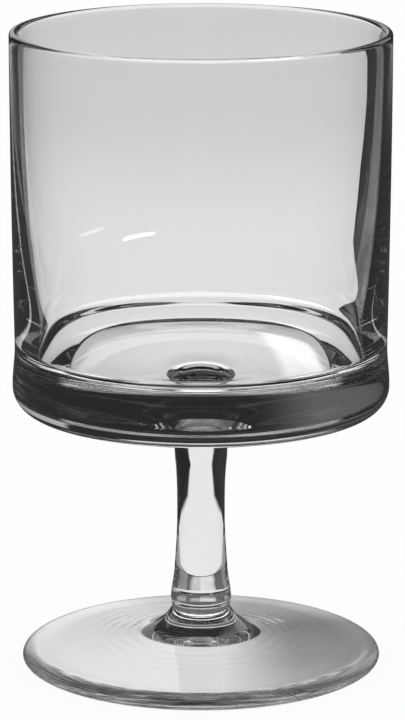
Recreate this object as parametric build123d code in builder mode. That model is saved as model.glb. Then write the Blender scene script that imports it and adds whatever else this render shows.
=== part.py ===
"""Stemmed water goblet in clear glass: a heavy-based bowl, a drawn stem and a foot, joined hot.

The goblet stands on Z = 0 with its axis on Z. All three pieces are turned about that axis.
"""

import os

from build123d import *

os.makedirs("parts", exist_ok=True)

# Driving dimensions of the bowl, in millimetres
rim_diameter = 80.0  # outside of the lip
rim_thickness = 1.8  # the lip is melted to a full round of this width
cavity_depth = 71.5  # lip to the middle of the inner floor
base_thickness = 10.7  # glass under the floor, on the axis
dish_diameter = 55.2  # the inner floor is a shallow dish with a clear edge
dish_rise = 1.2  # from the middle of the dish to its edge
dish_edge_lean = 28.0  # the corner leaves the edge of the dish this many degrees above level
dish_edge_pull = 4.2  # how far the corner keeps to that direction
wall_root_thickness = 4.6  # the wall at its root, where it stands upright on the corner
wall_root_rise = 5.3  # from the middle of the floor up to the root
wall_root_pull = 2.9  # how far the corner is drawn to the upright below the root
wall_root_hold = 9.8  # how far the wall is drawn to the upright above the root
lip_hold = 49.0  # how far it is drawn to the upright below the lip
wall_draw_in = 0.57  # how far the wall leans in from the lip to its narrowest place
heel_swell = 0.53  # how far the heel stands out past that narrowest place
heel_sweep = 8.6  # height of the curve from the narrowest place down to the heel
heel_band = 0.3  # upright band between that curve and the heel's rounding
heel_rounding = 5.1  # rounding from the heel to the underside
underside_rise = 1.6  # the underside climbs this much from the stem to the heel

# Driving dimensions of the stem
stem_length = 41.3  # between the two seams
stem_head_diameter = 15.0  # seam with the bowl
stem_neck_diameter = 11.04
stem_neck_drop = 9.8  # below the bowl's seam
stem_waist_diameter = 10.18
stem_waist_height = 19.7  # this and the next two heights are above the foot's seam
stem_shoulder_diameter = 11.44
stem_shoulder_height = 6.8
stem_bulb_diameter = 12.92
stem_bulb_height = 0.8
head_flare_angle = 40.0  # the head leaves the bowl this many degrees below level

# Driving dimensions of the foot
foot_diameter = 76.7
foot_height = 12.7  # standing plane to the stem's seam
seam_diameter = 12.0  # seam between stem and foot
boss_swell = 0.2  # how far the boss stands out past the seam
boss_band = 1.2  # height of the boss above its flare
flare_diameter = 27.4  # where the flare runs out into the cone
cone_rise = 2.9  # from the top of the edge up to the end of the flare
edge_thickness = 3.3
edge_middle = 1.2  # height of the widest line of the edge
edge_crown_width = 3.0  # rounding over the edge
edge_foot_width = 1.5  # rounding under the edge
rest_ring_width = 3.2  # flat ring that the goblet stands on
recess_depth = 3.6  # hollow under the foot, on the axis
recess_crown_diameter = 24.0  # the rounded middle of that hollow
recess_crown_rise = 0.78  # from the edge of the rounded middle up to the axis

# Levels of the two seams, the floor and the lip
foot_seam = foot_height
bowl_seam = foot_seam + stem_length
floor_level = bowl_seam + base_thickness
rim_level = floor_level + cavity_depth

# Radii shared by pieces that meet
seam_radius = seam_diameter / 2
head_radius = stem_head_diameter / 2


# Bowl: a tall wall that thickens downwards into a deep base with a dished floor and a swollen heel
rim_radius = rim_diameter / 2
waist_radius = rim_radius - wall_draw_in
heel_reach = waist_radius + heel_swell
heel_corner_level = bowl_seam + underside_rise
heel_level = heel_corner_level + heel_rounding + heel_band
lip_centre_level = rim_level - rim_thickness / 2

lip_outer = (rim_radius, lip_centre_level)
lip_top = (rim_radius - rim_thickness / 2, rim_level)
lip_inner = (rim_radius - rim_thickness, lip_centre_level)
wall_waist = (waist_radius, heel_level + heel_sweep)
heel_top = (heel_reach, heel_level)
heel_corner = (heel_reach, heel_corner_level)
dish_middle = (0, floor_level)
dish_edge = (dish_diameter / 2, floor_level + dish_rise)
wall_root = (waist_radius - wall_root_thickness, floor_level + wall_root_rise)
edge_direction = Vector(1, 0).rotate(Axis.Z, dish_edge_lean)
corner_start = Vector(*dish_edge) + edge_direction * dish_edge_pull
corner_end = (wall_root[0], wall_root[1] - wall_root_pull)
root_reach = (wall_root[0], wall_root[1] + wall_root_hold)
lip_reach = (lip_inner[0], lip_inner[1] - lip_hold)

with BuildPart() as bowl:
    with BuildSketch(Plane.XZ) as bowl_section:
        with BuildLine():
            ThreePointArc(lip_inner, lip_top, lip_outer)
            outer_wall = TangentArc(lip_outer, wall_waist, tangent=(0, -1))
            Spline(wall_waist, heel_top, tangents=(outer_wall % 1, (0, -1)))
            Polyline(heel_top, heel_corner, (head_radius, bowl_seam), (0, bowl_seam))
            Line((0, bowl_seam), dish_middle)
            TangentArc(dish_middle, dish_edge, tangent=(1, 0))
            Bezier(dish_edge, corner_start, corner_end, wall_root)
            Bezier(wall_root, root_reach, lip_reach, lip_inner)
        make_face()
        fillet(bowl_section.vertices().sort_by_distance(heel_corner)[0], heel_rounding)
    revolve(axis=Axis.Z)

bowl.part.label = "bowl"
export_step(bowl.part, "parts/bowl.step")


# Stem: flares to the bowl, draws in to a waist and swells to a bulb on the foot
head_edge = (head_radius, bowl_seam)
neck = (stem_neck_diameter / 2, bowl_seam - stem_neck_drop)
waist = (stem_waist_diameter / 2, foot_seam + stem_waist_height)
shoulder = (stem_shoulder_diameter / 2, foot_seam + stem_shoulder_height)
bulb = (stem_bulb_diameter / 2, foot_seam + stem_bulb_height)
head_direction = Vector(-1, 0).rotate(Axis.Z, head_flare_angle)

with BuildPart() as stem:
    with BuildSketch(Plane.XZ):
        with BuildLine():
            Spline(head_edge, neck, waist, shoulder, bulb, tangents=(head_direction, (0, -1)))
            TangentArc(bulb, (seam_radius, foot_seam), tangent=(0, -1))
            Polyline((seam_radius, foot_seam), (0, foot_seam), (0, bowl_seam), head_edge)
        make_face()
    revolve(axis=Axis.Z)

stem.part.label = "stem"
export_step(stem.part, "parts/stem.step")


# Foot: a low cone with a rounded edge, flared up to a boss that carries the stem
foot_radius = foot_diameter / 2
boss_radius = seam_radius + boss_swell
boss_base = (boss_radius, foot_seam - boss_band)
edge_top = (foot_radius - edge_crown_width, edge_thickness)
edge_widest = (foot_radius, edge_middle)
rest_outer = (foot_radius - edge_foot_width, 0)
rest_inner = (foot_radius - edge_foot_width - rest_ring_width, 0)
flare_end = (flare_diameter / 2, edge_thickness + cone_rise)
recess_crown = (recess_crown_diameter / 2, recess_depth - recess_crown_rise)
cone_direction = Vector(*flare_end) - Vector(*edge_top)

with BuildPart() as foot:
    with BuildSketch(Plane.XZ):
        with BuildLine():
            TangentArc((0, recess_depth), recess_crown, tangent=(1, 0))
            Polyline(recess_crown, rest_inner, rest_outer)
            Spline(rest_outer, edge_widest, tangents=((1, 0), (0, 1)))
            Spline(edge_widest, edge_top, tangents=((0, 1), cone_direction))
            Line(edge_top, flare_end)
            TangentArc(flare_end, boss_base, tangent=cone_direction)
            Spline(boss_base, (seam_radius, foot_seam), tangents=((0, 1), (-1, 1)))
            Polyline((seam_radius, foot_seam), (0, foot_seam), (0, recess_depth))
        make_face()
    revolve(axis=Axis.Z)

foot.part.label = "foot"
export_step(foot.part, "parts/foot.step")
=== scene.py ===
# %% [markdown]
# # A water goblet in clear glass
#
# The goblet is three pieces of glass, joined hot: a heavy-based bowl, a short stem and a foot.
# Each piece is round about one upright axis, so each is drawn as half a section and turned, as on
# a lathe. Clear glass has next to no colour of its own. It shows by what it bends and mirrors, so
# true sections and a well-planned studio do more here than any paint.

# %% Load the frame
import math

import bpy
from mathutils import Matrix, Vector
from mathutils.geometry import interpolate_bezier


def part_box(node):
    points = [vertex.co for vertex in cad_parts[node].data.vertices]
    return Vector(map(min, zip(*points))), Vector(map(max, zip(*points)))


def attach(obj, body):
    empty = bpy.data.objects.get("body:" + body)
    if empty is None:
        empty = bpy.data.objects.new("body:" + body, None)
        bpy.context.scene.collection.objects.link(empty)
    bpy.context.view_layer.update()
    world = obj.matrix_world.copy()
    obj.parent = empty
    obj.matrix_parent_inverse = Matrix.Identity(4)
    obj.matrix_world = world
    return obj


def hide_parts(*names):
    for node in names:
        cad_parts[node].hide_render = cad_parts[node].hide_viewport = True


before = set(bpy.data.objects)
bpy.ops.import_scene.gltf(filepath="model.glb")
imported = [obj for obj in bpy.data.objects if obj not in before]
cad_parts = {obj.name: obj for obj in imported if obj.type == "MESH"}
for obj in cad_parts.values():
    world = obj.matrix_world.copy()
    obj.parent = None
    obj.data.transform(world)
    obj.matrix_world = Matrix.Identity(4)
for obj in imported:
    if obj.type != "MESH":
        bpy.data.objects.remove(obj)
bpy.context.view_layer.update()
mm = 0.001

# %% [markdown]
# ## The camera
#
# The photograph looks a little down on the goblet from under a metre away, through a long lens.
# A long lens could also be faked by moving the camera and scaling the picture, but then the ovals
# of lip and foot would open at the wrong rate. So the camera stands where those ovals say it stood.

# %% Camera
PICTURE_HEIGHT = 720  # pixels, the long side of the picture
LENS_PIXELS = 4002.6  # focal length, counted in pixels of that picture
CAMERA_BACK = 825.88 * mm
CAMERA_UP = 260.37 * mm
CAMERA_RIGHT = 0.32 * mm
CAMERA_TILT = math.radians(13.264)  # below level

camera_data = bpy.data.cameras.new("photo_camera")
camera_data.lens = LENS_PIXELS * camera_data.sensor_width / PICTURE_HEIGHT
camera = bpy.data.objects.new("photo_camera", camera_data)
bpy.context.scene.collection.objects.link(camera)
camera.location = (CAMERA_RIGHT, -CAMERA_BACK, CAMERA_UP)
camera.rotation_euler = (math.pi / 2 - CAMERA_TILT, 0, 0)
bpy.context.scene.camera = camera
bpy.context.scene.view_settings.view_transform = "Standard"
print("lens in mm:", round(camera_data.lens, 1))

# %% [markdown]
# ## Shader maths as plain sums
#
# A finish is a graph of nodes, and a graph is hard to read in code. It could be wired up socket by
# socket, at three lines a sum. This small class wraps a socket instead, so that a sum on sockets
# adds its Math node, and one method adds a node of any other kind. The lathe below uses it too.


# %% Sockets that can be added and multiplied
class Wire:
    """An output socket in a node tree."""

    def __init__(self, tree, socket):
        self.tree = tree
        self.socket = socket

    def node(self, kind, settings=None, inputs=None, output=0):
        """Adds a node, sets it up, feeds its inputs and returns a wire from one output."""
        made = self.tree.nodes.new(kind)
        for name, setting in (settings or {}).items():
            setattr(made, name, setting)
        for name, value in (inputs or {}).items():
            if isinstance(value, Wire):
                self.tree.links.new(value.socket, made.inputs[name])
            else:
                made.inputs[name].default_value = value
        return Wire(self.tree, made.outputs[output])

    def math(self, operation, *values):
        """A Math node on this wire and the values after it."""
        return self.node("ShaderNodeMath", {"operation": operation}, dict(enumerate((self, *values))))

    def step(self, low, high):
        """A soft step from 0 at low to 1 at high."""
        settings = {"interpolation_type": "SMOOTHSTEP"}
        return self.node("ShaderNodeMapRange", settings, {"Value": self, "From Min": low, "From Max": high})

    def parts(self):
        """The X, Y and Z of a vector."""
        split = self.node("ShaderNodeSeparateXYZ", None, {0: self}).socket.node
        return [Wire(self.tree, part) for part in split.outputs]

    def noise(self, size):
        """Soft noise whose patches are about one size across."""
        return self.node("ShaderNodeTexNoise", None, {"Vector": self, "Scale": 1 / size, "Detail": 1.0})

    def __add__(self, other):
        return self.math("ADD", other)

    def __radd__(self, other):
        return self.math("ADD", other)

    def __sub__(self, other):
        return self.math("SUBTRACT", other)

    def __rsub__(self, other):
        return (self * -1) + other

    def __mul__(self, other):
        return self.math("MULTIPLY", other)

    def __rmul__(self, other):
        return self.math("MULTIPLY", other)


def new_tree(data):
    """Empties a material's or world's node tree and returns it."""
    data.use_nodes = True
    data.node_tree.nodes.clear()
    return data.node_tree


# %% [markdown]
# ## Clear glass
#
# The real glass is colourless and fire-polished, so it is shiny all over, yet never quite even: the
# blown wall swells a little, the foot keeps faint rings round its boss from turning, and its edge and
# standing ring are worn by tables and washing. A Glass shader bends light just as well, but the
# exported model keeps only what the Principled shader says. So this is a Principled shader with full
# transmission. Noise and rings reach it as relief, wear as roughness, and the thick base has a
# slightly stronger tint.

# %% Glass: sizes
GLASS_IOR = 1.52
THIN_TINT = (0.988, 0.991, 0.99, 1)
THICK_TINT = (0.98, 0.987, 0.985, 1)
THICK_BASE = (58 * mm, 72 * mm)  # the stronger tint fades out between these heights
SWELL_SIZE = 14 * mm  # from one swell of the blown wall to the next
SWELL_HEIGHT = 0.004 * mm
RING_PITCH = 2.4 * mm  # between the turning marks on the foot
RING_HEIGHT = 0.006 * mm
RINGS_START = (10 * mm, 14 * mm)  # radii between which the marks fade in
RINGS_END = (18 * mm, 28 * mm)  # and out again
RINGS_TOP = (8 * mm, 12 * mm)  # heights above which there are none
SCRATCH_SIZE = 6.7 * mm
SCUFF_TOP = (0.1 * mm, 0.25 * mm)  # the standing ring is rubbed up to this height
SCUFF_COVER = (0.35, 0.6)
SCUFF_ROUGHNESS = 0.06
WORN_RADIUS = (34.5 * mm, 36.5 * mm)  # the rounded edge of the foot is worn outside this radius
WORN_TOP = (3.4 * mm, 6.8 * mm)
WORN_ROUGHNESS = 0.2
WORN_LEAST = 0.7  # share of that roughness between the scratches
WORN_SPREAD = 0.6

# %% Glass: nodes
clear_glass = bpy.data.materials.new("clear_glass")
tree = new_tree(clear_glass)
place = Wire(tree, tree.nodes.new("ShaderNodeTexCoord").outputs["Object"])
across, ahead, height = place.parts()
radius = (across * across + ahead * ahead).math("SQRT")
ring_zone = radius.step(*RINGS_START) * (1 - radius.step(*RINGS_END)) * (1 - height.step(*RINGS_TOP))
rings = (radius * (math.tau / RING_PITCH)).math("SINE") * ring_zone
relief = place.noise(SWELL_SIZE) * SWELL_HEIGHT + rings * RING_HEIGHT
bump = place.node("ShaderNodeBump", None, {"Height": relief, "Strength": 1.0, "Distance": 1.0})
scratches = place.noise(SCRATCH_SIZE)
scuff = (1 - height.step(*SCUFF_TOP)) * scratches.step(*SCUFF_COVER) * SCUFF_ROUGHNESS
worn_patches = (WORN_LEAST + scratches * WORN_SPREAD) * WORN_ROUGHNESS
worn = radius.step(*WORN_RADIUS) * (1 - height.step(*WORN_TOP)) * worn_patches
thick = 1 - height.step(*THICK_BASE)
tint = place.node("ShaderNodeMix", {"data_type": "RGBA"}, {0: thick, 6: THIN_TINT, 7: THICK_TINT}, output=2)

glass = tree.nodes.new("ShaderNodeBsdfPrincipled")
output = tree.nodes.new("ShaderNodeOutputMaterial")
tree.links.new(glass.outputs[0], output.inputs["Surface"])
tree.links.new(tint.socket, glass.inputs["Base Color"])
tree.links.new((scuff + worn).socket, glass.inputs["Roughness"])
tree.links.new(bump.socket, glass.inputs["Normal"])
glass.inputs["Transmission Weight"].default_value = 1.0
glass.inputs["IOR"].default_value = GLASS_IOR
print("glass nodes:", len(tree.nodes))

# %% [markdown]
# ## Fused seams
#
# Where two pieces were joined hot, no surface is left inside the glass, and light runs straight on.
# Two meshes that meet there would each show a face, like a mirror inside the stem. Leaving those
# faces out would open the meshes. So they stay, and get a finish of their own that can't be seen.

# %% Seam
fused_seam = bpy.data.materials.new("fused_seam")
tree = new_tree(fused_seam)
seam = tree.nodes.new("ShaderNodeBsdfPrincipled")
output = tree.nodes.new("ShaderNodeOutputMaterial")
tree.links.new(seam.outputs[0], output.inputs["Surface"])
seam.inputs["Alpha"].default_value = 0.0
print("materials:", clear_glass.name, fused_seam.name)

# %% [markdown]
# ## A lathe made of nodes
#
# Glass is shaped by turning it, so one rule makes all three pieces: take a half section and turn it
# about the axis. A Screw modifier could do that too. Here the rule is a Geometry Nodes tree: a grid
# with a row for each point of the section and a column for each step of the turn is bent round the
# axis, welded where it closes, smoothed up to a sharp angle and given its glass. The flat ends that
# lie on a seam get the seam's finish.


# %% The lathe tree
LATHE_INPUTS = (
    ("Section", "Geometry"),
    ("Turns", "Int"),
    ("Weld", "Float"),
    ("Sharp Angle", "Float"),
    ("Upper Seam", "Float"),
    ("Lower Seam", "Float"),
    ("Glass", "Material"),
    ("Seam", "Material"),
)
SEAM_REACH = 0.01 * mm  # a face this close to the level of a seam lies on it
HALF_STEP = 0.5  # keeps the row number safe from rounding


def lathe_tree():
    """Turns a section, given as points in order in the XZ plane, about the Z axis."""
    tree = bpy.data.node_groups.new("lathe", "GeometryNodeTree")
    for name, kind in LATHE_INPUTS:
        tree.interface.new_socket(name, in_out="INPUT", socket_type="NodeSocket" + kind)
    tree.interface.new_socket("Mesh", in_out="OUTPUT", socket_type="NodeSocketGeometry")
    group_input = tree.nodes.new("NodeGroupInput")
    given = {name: Wire(tree, group_input.outputs[name]) for name, kind in LATHE_INPUTS}
    section = given["Section"]

    size = section.node("GeometryNodeAttributeDomainSize", {"component": "MESH"}, {"Geometry": section})
    columns = given["Turns"] + 1
    mesh = section.node("GeometryNodeMeshGrid", None, {"Vertices X": size, "Vertices Y": columns})
    index = section.node("GeometryNodeInputIndex")
    row = (index + HALF_STEP).math("DIVIDE", columns).math("FLOOR")
    turn = index - row * columns
    angle = turn.math("DIVIDE", given["Turns"]) * math.tau
    position = section.node("GeometryNodeInputPosition")
    sampled = {"Geometry": section, "Value": position, "Index": row}
    point = section.node("GeometryNodeSampleIndex", {"data_type": "FLOAT_VECTOR"}, sampled)
    about_axis = {"Vector": point, "Angle": angle}
    turned = point.node("ShaderNodeVectorRotate", {"rotation_type": "Z_AXIS"}, about_axis)
    mesh = mesh.node("GeometryNodeSetPosition", None, {"Geometry": mesh, "Position": turned})
    mesh = mesh.node("GeometryNodeMergeByDistance", None, {"Geometry": mesh, "Distance": given["Weld"]})
    mesh = mesh.node("GeometryNodeSetShadeSmooth", None, {"Geometry": mesh, "Shade Smooth": True})
    bend = mesh.node("GeometryNodeInputMeshEdgeAngle")
    limit = {"A": bend, "B": given["Sharp Angle"]}
    is_sharp = bend.node("FunctionNodeCompare", {"operation": "GREATER_THAN"}, limit)
    creases = {"Geometry": mesh, "Selection": is_sharp, "Shade Smooth": False}
    mesh = mesh.node("GeometryNodeSetShadeSmooth", {"domain": "EDGE"}, creases)
    mesh = mesh.node("GeometryNodeRealizeInstances", None, {"Geometry": mesh})
    mesh = mesh.node("GeometryNodeSetMaterial", None, {"Geometry": mesh, "Material": given["Glass"]})
    height = position.parts()[2]
    for level in ("Upper Seam", "Lower Seam"):
        near = {"A": height, "B": given[level], "Epsilon": SEAM_REACH}
        on_seam = height.node("FunctionNodeCompare", {"operation": "EQUAL"}, near)
        sealed = {"Geometry": mesh, "Selection": on_seam, "Material": given["Seam"]}
        mesh = mesh.node("GeometryNodeSetMaterial", None, sealed)
    tree.links.new(mesh.socket, tree.nodes.new("NodeGroupOutput").inputs["Mesh"])
    return tree


lathe = lathe_tree()
print("lathe nodes:", len(lathe.nodes))

# %% Turning a piece
TURNS = 288  # steps of a full turn
WELD = 0.002 * mm
SHARP_ANGLE = math.radians(25)
NO_SEAM = -1.0  # a level that no face lies on


def turn_piece(name, section, upper_seam=NO_SEAM, lower_seam=NO_SEAM, turns=TURNS):
    """Runs a section through the lathe and returns the piece as a plain mesh object."""
    outline = bpy.data.meshes.new(name + "_section")
    outline.from_pydata([(r, 0, z) for r, z in section], [], [])
    piece = bpy.data.objects.new(name, outline)
    bpy.context.scene.collection.objects.link(piece)
    modifier = piece.modifiers.new("lathe", "NODES")
    modifier.node_group = lathe
    values = {
        "Turns": turns,
        "Weld": WELD,
        "Sharp Angle": SHARP_ANGLE,
        "Upper Seam": upper_seam,
        "Lower Seam": lower_seam,
        "Glass": clear_glass,
        "Seam": fused_seam,
    }
    for item in lathe.interface.items_tree:
        if item.in_out == "INPUT" and item.name in values:
            modifier[item.identifier] = values[item.name]
    evaluated = piece.evaluated_get(bpy.context.evaluated_depsgraph_get())
    mesh = bpy.data.meshes.new_from_object(evaluated)
    piece.modifiers.remove(modifier)
    piece.data = mesh
    bpy.data.meshes.remove(outline)
    mesh.name = name
    return piece


# %% [markdown]
# ## Drawing a section
#
# A section is a list of points, each a radius and a height, in order round the glass. It could be
# traced as a long list of numbers, but nobody could change that later. These helpers draw straight
# runs, rounds and soft curves between the few points that a maker would measure.


# %% Lines, arcs and sweeps
def line(start, end, steps=1):
    """Points from start to end, without the first."""
    start, end = Vector(start), Vector(end)
    return [tuple(start.lerp(end, i / steps)) for i in range(1, steps + 1)]


def fillet(before, corner, after, radius, steps):
    """Points of the round that takes a corner off, from the side of before to the side of after."""
    corner = Vector(corner)
    way_in = (Vector(before) - corner).normalized()
    way_out = (Vector(after) - corner).normalized()
    half = way_in.angle(way_out) / 2
    first = corner + way_in * radius / math.tan(half)
    centre = corner + (way_in + way_out).normalized() * radius / math.sin(half)
    spoke = first - centre
    turn = math.pi - 2 * half
    if way_in.x * way_out.y - way_in.y * way_out.x > 0:
        turn = -turn
    return [tuple(centre + Matrix.Rotation(turn * i / steps, 2) @ spoke) for i in range(steps + 1)]


def tangent_arc(start, direction, end, steps):
    """Points of the arc that leaves start in a direction and arrives at end, without the first."""
    start, direction, end = Vector(start), Vector(direction).normalized(), Vector(end)
    chord = end - start
    side = Vector((-direction.y, direction.x))
    reach = chord.length_squared / (2 * chord.dot(side))
    centre = start + side * reach
    turn = 2 * math.atan2(chord.dot(side), chord.dot(direction))
    spoke = start - centre
    return [tuple(centre + Matrix.Rotation(turn * i / steps, 2) @ spoke) for i in range(1, steps + 1)]


def sweep(start, leaving, end, arriving, steps):
    """Points of a soft curve between two places with a set direction at each, without the first."""
    start, end = Vector(start), Vector(end)
    third = (end - start).length / 3
    handles = start + Vector(leaving).normalized() * third, end - Vector(arriving).normalized() * third
    return [tuple(p) for p in interpolate_bezier(start, *handles, end, steps + 1)[1:]]


def pulled_curve(start, leaving, start_pull, end, arriving, end_pull, steps):
    """Points of a soft curve with its own reach along the direction at each end, without the first."""
    start, end = Vector(start), Vector(end)
    handles = start + Vector(leaving) * start_pull, end - Vector(arriving) * end_pull
    return [tuple(p) for p in interpolate_bezier(start, *handles, end, steps + 1)[1:]]


def compare(piece, node):
    """Prints how far the turned piece reaches compared with the CAD node."""
    low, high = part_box(node)
    corners = [Vector(c) for c in piece.bound_box]
    off_low = [min(c[i] for c in corners) - low[i] for i in range(3)]
    off_high = [max(c[i] for c in corners) - high[i] for i in range(3)]
    print(piece.name, "faces:", len(piece.data.polygons), "off in mm:",
          [round(v / mm, 3) for v in off_low + off_high])


# %% [markdown]
# ## Levels that the pieces share
#
# Pieces that are joined hot have to agree on where they meet. Those levels could be typed in again,
# but the frame already knows them from the boxes of the CAD model, so they are read from there.

# %% Levels
DOWN, UP, OUT, IN = (0, -1), (0, 1), (1, 0), (-1, 0)
foot_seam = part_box("stem")[0].z
bowl_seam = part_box("bowl")[0].z
rim_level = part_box("bowl")[1].z
rim_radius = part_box("bowl")[1].x
print("seams in mm:", round(foot_seam / mm, 2), round(bowl_seam / mm, 2))

# %% [markdown]
# ## The bowl
#
# The bowl is the heavy end of a water goblet. Its lip is melted to a full round, its wall thickens
# from 1.8 mm there to 4.6 mm at the root, and under a dished floor lie nearly 11 mm of glass with a
# slightly swollen heel. A bowl like this is blown in a mould from a gather with extra glass at its
# end. The inside could be drawn as an even offset of the outside, but each dark line that shows in
# the base comes from the inside's own shape. So the inside has its own few sizes: a dish with a clear
# edge, a corner that leans away from it, an upright root and one long soft curve up to the lip.

# %% Bowl: sizes
rim_thickness = 1.8 * mm
cavity_depth = 71.5 * mm  # lip to the middle of the dish
dish_radius = 27.6 * mm
dish_rise = 1.2 * mm  # middle of the dish to its edge
dish_edge_lean = math.radians(28)  # the corner leaves the dish at this angle
dish_edge_pull = 4.2 * mm  # how far it keeps to it
root_thickness = 4.6 * mm  # the wall where it stands upright on the corner
root_rise = 5.3 * mm  # middle of the dish to that root
root_pull = 2.9 * mm  # how far the corner is drawn to the upright
root_hold = 9.8 * mm  # and the wall above it
lip_hold = 49.0 * mm  # how far the wall is drawn to the upright below the lip
wall_draw_in = 0.57 * mm  # lip to the narrowest place of the wall
heel_swell = 0.53 * mm  # how far the heel stands out again
heel_sweep = 8.6 * mm
heel_band = 0.3 * mm
heel_rounding = 5.1 * mm
underside_rise = 1.6 * mm
underside_start = math.radians(5)  # slope of the underside at the stem
underside_end = math.radians(-1)  # and at the heel
head_radius = 7.5 * mm  # the seam with the stem

# %% Bowl: places on the section
floor_level = rim_level - cavity_depth
lip_level = rim_level - rim_thickness / 2
waist_radius = rim_radius - wall_draw_in
heel_reach = waist_radius + heel_swell
heel_corner = (heel_reach, bowl_seam + underside_rise)
heel_top = (heel_reach, bowl_seam + underside_rise + heel_rounding + heel_band)
wall_waist = (waist_radius, heel_top[1] + heel_sweep)
lip_outer = (rim_radius, lip_level)
lip_inner = (rim_radius - rim_thickness, lip_level)
land_edge = (head_radius, bowl_seam)
floor_centre = (0, floor_level)
dish_edge = (dish_radius, floor_level + dish_rise)
wall_root = (waist_radius - root_thickness, floor_level + root_rise)
edge_way = (math.cos(dish_edge_lean), math.sin(dish_edge_lean))
start_way = (math.cos(underside_start), math.sin(underside_start))
end_way = (math.cos(underside_end), math.sin(underside_end))
print("glass under the dish in mm:", round((floor_level - bowl_seam) / mm, 2))

# %% Bowl: inside first, then over the lip and down to the seam
HEEL_GAP = 0.4 * mm  # the underside stops this far short of the heel's round
HEEL_APPROACH = 25  # the step of the underside whose slope that round meets
wall = tangent_arc(lip_outer, DOWN, wall_waist, steps=40)
wall_lean = Vector(wall[-1]) - Vector(wall[-2])
underside = [land_edge] + sweep(land_edge, start_way, heel_corner, end_way, steps=32)
heel_round = fillet(heel_top, heel_corner, underside[HEEL_APPROACH], heel_rounding, steps=40)
round_end = heel_round[-1][0]
section = [floor_centre] + tangent_arc(floor_centre, OUT, dish_edge, steps=40)
section += pulled_curve(dish_edge, edge_way, dish_edge_pull, wall_root, UP, root_pull, steps=64)
section += pulled_curve(wall_root, UP, root_hold, lip_inner, UP, lip_hold, steps=80)
section += tangent_arc(lip_inner, UP, lip_outer, steps=32)
section += wall + sweep(wall_waist, wall_lean, heel_top, DOWN, steps=20)
section += heel_round + [point for point in reversed(underside) if point[0] < round_end - HEEL_GAP]
section += line(land_edge, (0, bowl_seam), steps=2)
bowl = turn_piece("goblet_bowl", section, lower_seam=bowl_seam)
compare(bowl, "bowl")

# %% [markdown]
# ## The stem
#
# The stem is solid glass, drawn out hot between bowl and foot, so it flares at the top, is thinnest at
# the waist and swells again just above the foot. A cylinder with rounded ends would be quicker to
# draw, but the slow change of width is what pulls light into long upright streaks. So a soft curve
# runs through the few widths that can be read from the outline.

# %% Stem
seam_radius = 6.0 * mm  # the seam with the foot
neck = (5.52 * mm, bowl_seam - 9.8 * mm)
waist = (5.09 * mm, foot_seam + 19.7 * mm)
shoulder = (5.72 * mm, foot_seam + 6.8 * mm)
bulb = (6.46 * mm, foot_seam + 0.8 * mm)
head_flare = math.radians(40)  # the head leaves the bowl this far below level

head_way = Vector((-math.cos(head_flare), -math.sin(head_flare)))
neck_way = Vector(waist) - Vector(land_edge)
shoulder_way = Vector(bulb) - Vector(waist)
stations = (
    (land_edge, head_way),
    (neck, neck_way),
    (waist, Vector(DOWN)),
    (shoulder, shoulder_way),
    (bulb, Vector(DOWN)),
)
section = [(0, bowl_seam), *line((0, bowl_seam), land_edge, steps=2)]
for (start, leaving), (end, arriving) in zip(stations, stations[1:]):
    section += sweep(start, leaving, end, arriving, steps=24)
section += tangent_arc(bulb, DOWN, (seam_radius, foot_seam), steps=16)
section += line((seam_radius, foot_seam), (0, foot_seam), steps=2)
stem = turn_piece("goblet_stem", section, upper_seam=bowl_seam, lower_seam=foot_seam)
compare(stem, "stem")

# %% [markdown]
# ## The foot
#
# The foot is a disc of hot glass that is pressed flat and opened while it turns: a low cone with a
# rounded edge, flared up to a small boss that takes the stem. It stands on a flat ring, and the
# middle is hollow underneath so that the goblet doesn't rock. In clay or metal the hollow could be
# left out, because it is never seen. In glass it shows through the top, so it is drawn too. The foot
# gets a finer turn than the rest, as its edge bends light more than any other place.

# %% Foot
FOOT_TURNS = 384
foot_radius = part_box("foot")[1].x
boss_base = (6.2 * mm, foot_seam - 1.2 * mm)
flare_end = (13.7 * mm, 6.2 * mm)  # where the flare runs out into the cone
edge_top = (foot_radius - 3.0 * mm, 3.3 * mm)
edge_widest = (foot_radius, 1.2 * mm)
rest_outer = (foot_radius - 1.5 * mm, 0)  # the flat ring that the goblet stands on
rest_inner = (rest_outer[0] - 3.2 * mm, 0)
hollow_edge = (12.0 * mm, 2.82 * mm)  # the rounded middle of the hollow
hollow_top = (0, 3.6 * mm)
cone = Vector(flare_end) - Vector(edge_top)
flare = tangent_arc(flare_end, cone, boss_base, steps=48)
crown = tangent_arc(hollow_top, OUT, hollow_edge, steps=16)

section = [(0, foot_seam), *line((0, foot_seam), (seam_radius, foot_seam), steps=2)]
section += sweep((seam_radius, foot_seam), (1, -1), boss_base, DOWN, steps=16)
section += flare[-2::-1] + [flare_end]
section += line(flare_end, edge_top, steps=6)
section += sweep(edge_top, -cone, edge_widest, DOWN, steps=32)
section += sweep(edge_widest, DOWN, rest_outer, IN, steps=20)
section += line(rest_outer, rest_inner, steps=2)
section += line(rest_inner, hollow_edge, steps=6)
section += crown[-2::-1] + [hollow_top]
foot = turn_piece("goblet_foot", section, upper_seam=foot_seam, turns=FOOT_TURNS)
compare(foot, "foot")

# %% [markdown]
# ## Into the shared frame
#
# Each turned piece stands in for one CAD node, which is hidden, and rides on the goblet's one rigid
# body.

# %% Put the pieces in the frame
for piece, node in ((bowl, "bowl"), (stem, "stem"), (foot, "foot")):
    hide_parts(node)
    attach(piece, "root")
    print(piece.name, "stands in for", node)

# %% [markdown]
# ## The floor
#
# The photograph has a bare white ground with hardly any shadow. Stronger lamps would make it white
# too, but they would also wash out the glass. So the floor glows by itself just under white, and a
# small matte share keeps the soft shadow. Glass doesn't see this floor, as it gets sheets of its own.

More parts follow.
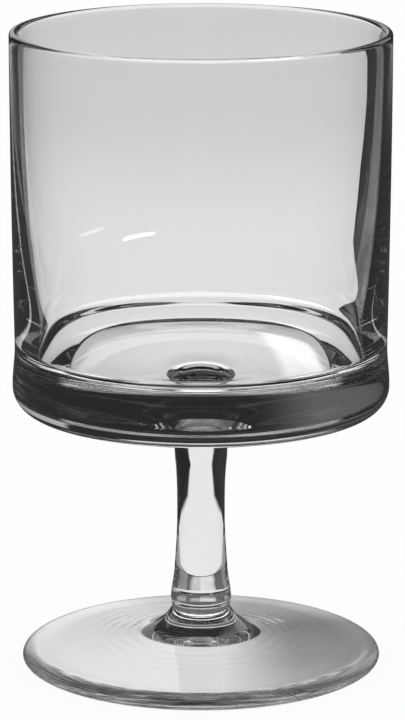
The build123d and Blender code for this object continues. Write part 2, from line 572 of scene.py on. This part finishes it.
# %% Floor
FLOOR_SIDE = 6.0  # metres
FLOOR_DROP = 0.02 * mm  # keeps the floor just clear of the standing ring
FLOOR_GREY = (0.9, 0.9, 0.9, 1)
GLOW_SHARE = 0.94  # the rest is matte and takes the shadow


def flat_sheet(name, corners, drop):
    """A flat stage object just under the goblet."""
    mesh = bpy.data.meshes.new(name)
    mesh.from_pydata([(x, y, 0) for x, y in corners], [], [tuple(range(len(corners)))])
    sheet = bpy.data.objects.new(name, mesh)
    sheet.location.z = -drop
    bpy.context.scene.collection.objects.link(sheet)
    return sheet


half = FLOOR_SIDE / 2
floor = flat_sheet("floor", [(-half, -half), (half, -half), (half, half), (-half, half)], FLOOR_DROP)
floor.visible_transmission = False
floor.visible_glossy = False

white_floor = bpy.data.materials.new("white_floor")
tree = new_tree(white_floor)
matte = tree.nodes.new("ShaderNodeBsdfDiffuse")
matte.inputs["Color"].default_value = FLOOR_GREY
glow = tree.nodes.new("ShaderNodeEmission")
glow.inputs["Strength"].default_value = 1.0
mixer = tree.nodes.new("ShaderNodeMixShader")
mixer.inputs["Fac"].default_value = GLOW_SHARE
output = tree.nodes.new("ShaderNodeOutputMaterial")
tree.links.new(matte.outputs[0], mixer.inputs[1])
tree.links.new(glow.outputs[0], mixer.inputs[2])
tree.links.new(mixer.outputs[0], output.inputs["Surface"])
floor.data.materials.append(white_floor)
print("floor side in m:", FLOOR_SIDE)

# %% [markdown]
# ## The paper that the glass looks at
#
# To photograph glass, bright paper goes behind it and darkness to its sides. Light from the paper
# comes through the middle, while the edges bend their view to the side and draw a dark outline. An
# all-white room would be simpler, but glass nearly vanishes in it. Here a strip of paper lies on the
# table and runs away behind the goblet, and a round sheet lies under the foot. Both glow by themselves,
# with painted pools of light and painted shade on them. Only light that comes through glass sees them,
# and the edges of the strip set the widths of the dark bands. The depth of a light path tells the stem
# and foot, with two surfaces, from the bowl, with four. So each can have its own painted light, as
# flags and small cards would give it in a real studio.

# %% Sheets that only glass can see
SOLID_GLASS = (2.4, 2.6)  # paths through stem or foot are shorter than this
PLAIN_BOWL = (5.4, 5.6)  # and paths through the bowl's two walls than this


def through_only(sheet):
    """Lets only light that comes through glass see a sheet."""
    sheet.visible_camera = False
    sheet.visible_diffuse = False
    sheet.visible_glossy = False
    sheet.visible_shadow = False
    sheet.visible_volume_scatter = False


def glowing(name, brightness):
    """A material that glows by a brightness worked out from the place in mm and the path's depth."""
    material = bpy.data.materials.new(name)
    tree = new_tree(material)
    place = Wire(tree, tree.nodes.new("ShaderNodeTexCoord").outputs["Object"])
    depth = Wire(tree, tree.nodes.new("ShaderNodeLightPath").outputs["Ray Depth"])
    across, ahead = [part * (1 / mm) for part in place.parts()[:2]]
    shade = brightness(across, ahead, depth)
    glow = tree.nodes.new("ShaderNodeEmission")
    tree.links.new(shade.socket, glow.inputs["Color"])
    output = tree.nodes.new("ShaderNodeOutputMaterial")
    tree.links.new(glow.outputs[0], output.inputs["Surface"])
    print(name, "nodes:", len(tree.nodes))
    return material


# %% The strip behind the goblet, by the corners of its two edges in mm
STRIP_LEFT_EDGE = (
    (-75, 40), (-105, 130), (-116, 185), (-123, 225), (-139, 262), (-142, 290),
    (-160, 400), (-205, 600), (-280, 1000),
)
STRIP_RIGHT_EDGE = (
    (70, 40), (92, 110), (98, 150), (93, 185), (86, 215), (82, 245), (81, 280),
    (87, 330), (103, 450), (138, 650), (185, 1000),
)
STRIP_DROP = 0.01 * mm
PAPER_WHITE = 0.88
FAR_STRETCH = (300, 650)  # painted shade: the paper grows darker with distance
FAR_LOSS = 0.15
END_STRETCH = (700, 900)
END_LOSS = 0.06
POOL_START = (118, 138)  # a painted pool of light lies behind the goblet
POOL_END = (266, 290)
POOL_TAPER = 1.3
POOL_SIDE = (46, 54)
POOL_GAIN = 0.22
HOT_SIDE = (20, 28)  # the painted light is strongest on the right
HOT_START = (140, 160)
HOT_GAIN = 0.55
NEAR_STRETCH = (54, 72)  # painted light brightens the near end of the strip as well
NEAR_GAIN = 0.6
STEM_NEAR = 122  # painted shade gives the stem and foot a narrower strip, which draws in from this half width
STEM_DRAW_IN = 0.5
STEM_FAR = 31  # and then widens again from this one
STEM_WIDEN = 0.2
STEM_BLUR = (-8, 8)
STEM_LOSS = 0.97


def strip_brightness(across, ahead, depth):
    """White paper with painted shade far off and a painted pool of light; narrower for the stem and foot.
    """
    # painted shade: the paper darkens far off
    paper = PAPER_WHITE - ahead.step(*FAR_STRETCH) * FAR_LOSS - ahead.step(*END_STRETCH) * END_LOSS
    off_axis = across.math("ABSOLUTE")
    # painted light: a pool behind the goblet, hottest on the right, and a bright near end
    tapered = ahead + off_axis * POOL_TAPER
    pool = ahead.step(*POOL_START) * (1 - tapered.step(*POOL_END)) * (1 - off_axis.step(*POOL_SIDE))
    hot = pool * across.step(*HOT_SIDE) * ahead.step(*HOT_START)
    near = 1 - ahead.step(*NEAR_STRETCH)
    extra = pool * POOL_GAIN + hot * HOT_GAIN + near * NEAR_GAIN
    is_bowl = depth.step(*SOLID_GLASS)
    # painted shade: paths through stem and foot see white only within a narrower reach
    stem_reach = (STEM_NEAR - ahead * STEM_DRAW_IN).math("MAXIMUM", STEM_FAR + ahead * STEM_WIDEN)
    outside = (off_axis - stem_reach).step(*STEM_BLUR) * (1 - is_bowl)
    return (paper + extra * is_bowl) * (1 - outside * STEM_LOSS)


strip_edge = STRIP_RIGHT_EDGE + STRIP_LEFT_EDGE[::-1]
strip = flat_sheet("paper_strip", [(x * mm, y * mm) for x, y in strip_edge], STRIP_DROP)
strip.data.materials.append(glowing("strip_painted_light", strip_brightness))
through_only(strip)

# %% The round sheet under the foot, in mm
UNDER_RADIUS = 70
UNDER_CORNERS = 96
UNDER_DROP = 0.015 * mm
SHADE_SIDE = (2, 22)  # painted shadow of the bowl on the right of the sheet and in front
SHADE_END = (14, 30)
SHADE_FRONT = (-30, -5)
SHADE_LOSS = 0.48
SHADE_LEAST = 0.7  # share of that loss at the front
MIDDLE = (24, 28)  # painted shade: inside this radius the longest paths find the sheet dark
FOOT_EDGE = (36.5, 38)  # outside this one it is a painted grey
GREY = 0.4
BULB_MIDDLE = 1.5  # painted shade leaves the stem's bulb only a bright patch of it, this far left of the axis
BULB_SIDE = (6, 10)
BULB_FRONT = (28.5, 31)
BULB_LOSS = 0.83


def under_brightness(across, ahead, depth):
    """Paper under the foot: painted shade on one side, painted grey round it, mostly dark through the bulb.
    """
    # painted shadow of the bowl on the right and in front
    front = SHADE_LEAST + ahead.step(*SHADE_FRONT) * (1 - SHADE_LEAST)
    shade = across.step(*SHADE_SIDE) * (1 - ahead.step(*SHADE_END)) * front
    from_axis = (across * across + ahead * ahead).math("SQRT")
    # painted shade in the middle for the longest paths
    is_long = depth.step(*PLAIN_BOWL)
    inside = (PAPER_WHITE - shade * SHADE_LOSS) * (1 - is_long * (1 - from_axis.step(*MIDDLE)))
    is_bowl = depth.step(*SOLID_GLASS)
    outside = GREY * (1 - is_bowl)
    # painted shade over the bulb's view, except one bright patch
    patch = ahead.step(*BULB_FRONT) * (1 - (across + BULB_MIDDLE).math("ABSOLUTE").step(*BULB_SIDE))
    inside = inside * (1 - is_bowl * (1 - is_long) * (1 - patch) * BULB_LOSS)
    return inside + (outside - inside) * from_axis.step(*FOOT_EDGE)


angles = [math.tau * i / UNDER_CORNERS for i in range(UNDER_CORNERS)]
circle = [(UNDER_RADIUS * mm * math.cos(angle), UNDER_RADIUS * mm * math.sin(angle)) for angle in angles]
under_foot = flat_sheet("paper_under_foot", circle, UNDER_DROP)
under_foot.data.materials.append(glowing("under_foot_painted_light", under_brightness))
through_only(under_foot)

# %% [markdown]
# ## The room
#
# Beyond the paper the room is dim: nearly black on the right and a little lighter on the left, where
# the bands in the photograph are grey. White cards stand round the table, so that the glass stays
# clear to read from other sides too. They could be planes, but a world that works from directions
# keeps them from ever showing behind the goblet, and lets light through the glass and light off its
# surface meet different cards. Two narrow bars of light give the two thin glints on the left.

# %% Directions, in degrees to the right and up
world = bpy.data.worlds.new("studio")
bpy.context.scene.world = world
tree = new_tree(world)
direction = Wire(tree, tree.nodes.new("ShaderNodeTexCoord").outputs["Generated"])
across, ahead, height = direction.parts()
azimuth = across.math("ARCTAN2", ahead) * (180 / math.pi)
elevation = height.math("ARCSINE") * (180 / math.pi)
light_path = tree.nodes.new("ShaderNodeLightPath")
depth = Wire(tree, light_path.outputs["Ray Depth"])


def window(value, low, high, blur):
    """1 between two values with soft ends."""
    return (value - low).step(-blur, blur) * (1 - (value - high).step(-blur, blur))


def bearing_from(middle, turn=360):
    """Degrees to the right of a middle, starting over after each turn."""
    return (azimuth - middle).math("WRAP", turn / 2, -turn / 2)


CARD_SIDE_BLUR = 2
CARD_TOP_BLUR = 1.5


def card(bearing, left, right, low, high, brightness):
    """A bright card by its edges in degrees."""
    sides = window(bearing, left, right, CARD_SIDE_BLUR)
    return sides * window(elevation, low, high, CARD_TOP_BLUR) * brightness


# %% Light that comes through the glass
LEFT_START = (-32, -12)  # the lighter side of the room lies between these two soft edges
LEFT_END = (-120, -100)
SKYLINE = (4, 8)
SIDE_LEFT, SIDE_RIGHT = 0.035, 0.02
ABOVE_LEFT, ABOVE_RIGHT = 0.12, 0.02
WORLD_SOLID = (3.4, 3.6)  # the world counts a path as one step longer than a sheet does
WORLD_BOWL = (5.4, 5.6)
MIRRORED = 4  # a path that was mirrored once inside the glass
MIRRORED_BLUR = (0.4, 0.6)
QUARTER = 90
LEVEL_CARD = (-17, 9, -8, 2, 0.6)  # left, right, low and high edge and brightness, in each quarter
LOWER_CARDS = (  # the middle of each card, then the same
    (-90, -17, 9, -19, -6, 0.6),
    (180, -17, 9, -19, -6, 0.6),
    (135, -20, 20, -26, -6, 0.8),
    (-48, -10, 10, -34, -19, 0.8),
)
CAMERA_SIDE = 180
OVERHEAD_CARD = (-75, 75, 42, 76, 0.8)  # above the camera
RIGHT_CARD = (34, 72, -4, 18, 0.5)  # seen by the stem and foot alone

is_left = (1 - azimuth.step(*LEFT_START)) * azimuth.step(*LEFT_END)
side = SIDE_RIGHT + is_left * (SIDE_LEFT - SIDE_RIGHT)
above = ABOVE_RIGHT + is_left * (ABOVE_LEFT - ABOVE_RIGHT)
through = side + (above - side) * elevation.step(*SKYLINE)
is_unmirrored = (depth - MIRRORED).math("ABSOLUTE").step(*MIRRORED_BLUR)
is_plain_view = is_unmirrored * (1 - depth.step(*WORLD_BOWL))
through = through.math("MAXIMUM", card(bearing_from(0, QUARTER), *LEVEL_CARD) * is_plain_view)
for middle, *edges in LOWER_CARDS:
    through = through.math("MAXIMUM", card(bearing_from(middle), *edges) * is_plain_view)
through = through.math("MAXIMUM", card(bearing_from(CAMERA_SIDE), *OVERHEAD_CARD))
through = through.math("MAXIMUM", card(azimuth, *RIGHT_CARD) * (1 - depth.step(*WORLD_SOLID)))

# %% Light that glances off the glass
DIM = 0.06
DIM_RISE = (0, 30)
EIGHTH = 45
TALL_LOW = (0, 4)  # eight tall cards stand evenly round the table
TALL_HIGH = (36, 42)
TALL_EDGE = (0, 2)
TALL_BRIGHTNESS = 0.8
GLINTS = (  # left and right bearing, elevation at the right end, lean, strength
    (-119.3, -102.2, -12.33, -0.0042, 3),
    (-152.3, -133.0, -12.53, -0.0034, 12),
)
GLINT_HALF = 0.03
GLINT_BLUR = 0.015
GLINT_END_BLUR = 1.5

tall_sides = 1 - bearing_from(0, EIGHTH).step(*TALL_EDGE)
tall_cards = tall_sides * elevation.step(*TALL_LOW) * (1 - elevation.step(*TALL_HIGH))
off = DIM + elevation.step(*DIM_RISE) * DIM + tall_cards * TALL_BRIGHTNESS
for left, right, level, lean, strength in GLINTS:
    from_glint = elevation - level - (azimuth - right) * lean
    ends = window(azimuth, left, right, GLINT_END_BLUR)
    off = off + ends * window(from_glint, -GLINT_HALF, GLINT_HALF, GLINT_BLUR) * strength

# %% Light that falls on paper is plain white
is_through = Wire(tree, light_path.outputs["Is Transmission Ray"])
is_camera = Wire(tree, light_path.outputs["Is Camera Ray"])
is_plain = is_camera.math("MAXIMUM", Wire(tree, light_path.outputs["Is Diffuse Ray"]))
in_glass = off + (through - off) * is_through
shown = in_glass + (1 - in_glass) * is_plain
background = tree.nodes.new("ShaderNodeBackground")
tree.links.new(shown.socket, background.inputs["Color"])
output = tree.nodes.new("ShaderNodeOutputWorld")
tree.links.new(background.outputs[0], output.inputs["Surface"])
print("world nodes:", len(tree.nodes))

# %% [markdown]
# ## Long light paths
#
# Light can cross a thick base many times before it leaves. If it is stopped early, the glass gets
# black patches that real glass doesn't have, so the paths may be long.

# %% Bounces
BOUNCES = 32
bpy.context.scene.cycles.max_bounces = BOUNCES
bpy.context.scene.cycles.transmission_bounces = BOUNCES
bpy.context.scene.cycles.glossy_bounces = BOUNCES
print("bounces:", BOUNCES)
